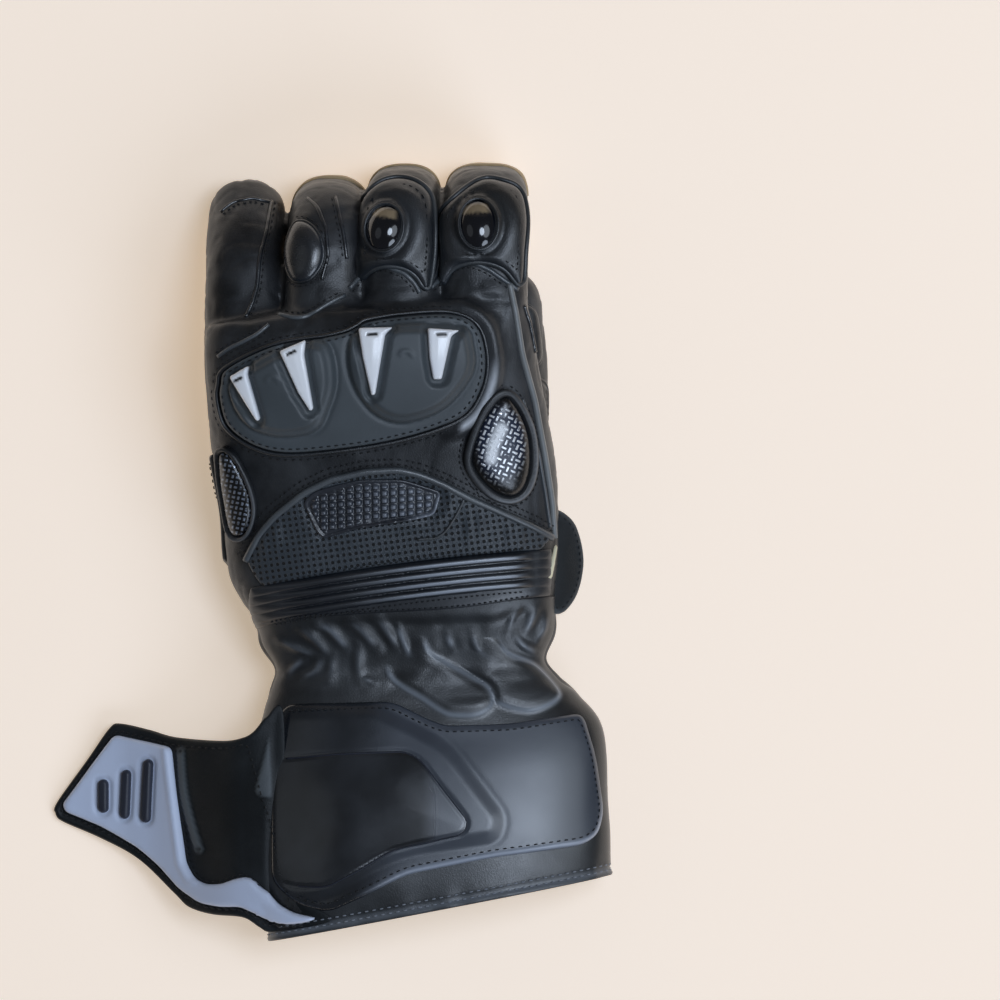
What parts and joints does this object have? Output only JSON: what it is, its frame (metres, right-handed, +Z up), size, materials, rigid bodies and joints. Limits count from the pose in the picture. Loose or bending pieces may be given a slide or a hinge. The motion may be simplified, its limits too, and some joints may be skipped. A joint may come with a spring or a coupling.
{
  "type": "leather motorcycle glove",
  "caption": "Left-hand leather riding gauntlet lying palm down with curled fingers: moulded knuckle guard, tan palm, sliders, gathered wrist and an open cuff flap.",
  "frame": {"origin": "centre of the bounding box on the floor that the glove lies on", "axes": "+Z up, +Y from the cuff to the fingertips, +X from the little finger to the thumb"},
  "size_m": [0.1941, 0.2667, 0.0692],
  "materials": {
    "black_leather": "semi-matt black leather",
    "tan_leather": "smooth tan leather",
    "grip_black": "black embossed leather",
    "moulded_black": "charcoal moulded rubber",
    "silver_insert": "pearl silver plastic",
    "dome_gloss": "polished black",
    "carbon_slider": "woven black and silver under clear gloss",
    "scoop_black": "black moulded squares",
    "cuff_gloss": "satin black moulding",
    "guard_grey": "grey moulded rubber",
    "bar_dark": "dark raised bars",
    "loop_fabric": "black hook and loop pile"
  },
  "bodies": {
    "root": {"hand_shell": "black_leather", "finger_index": "black_leather", "finger_middle": "black_leather", "finger_ring": "black_leather", "finger_little": "black_leather", "thumb": "black_leather", "wrist_gather": "black_leather", "cuff": "black_leather", "knuckle_insert_1": "silver_insert", "knuckle_insert_2": "silver_insert", "knuckle_insert_3": "silver_insert", "knuckle_insert_4": "silver_insert", "knuckle_guard": "moulded_black", "finger_pad_index": "black_leather", "knuckle_cap_index": "dome_gloss", "finger_pad_middle": "black_leather", "knuckle_cap_middle": "dome_gloss", "ring_pad": "black_leather", "thumb_side_slider_rim": "black_leather", "thumb_side_slider": "carbon_slider", "edge_slider_rim": "black_leather", "edge_slider": "carbon_slider", "arc_piping": "black_leather", "vent_scoop": "scoop_black", "perforated_panel": "black_leather", "pleat_panel": "black_leather", "palm_panel": "tan_leather", "palm_grip": "grip_black", "heel_panel": "black_leather", "palm_slider_thumb": "moulded_black", "palm_slider_edge": "moulded_black", "palm_strip_index": "tan_leather", "grip_index": "grip_black", "palm_strip_middle": "tan_leather", "grip_middle": "grip_black", "palm_strip_ring": "tan_leather", "grip_ring": "grip_black", "palm_strip_little": "tan_leather", "wrist_loop_pad": "loop_fabric", "wrist_strap": "black_leather", "strap_tab": "black_leather", "cuff_guard": "cuff_gloss", "cuff_loop_pad": "loop_fabric", "closure_flap": "black_leather", "flap_guard": "guard_grey", "flap_bar_1": "bar_dark", "flap_bar_2": "bar_dark", "flap_bar_3": "bar_dark", "flap_hook_pad": "loop_fabric"}
  },
  "joints": []
}
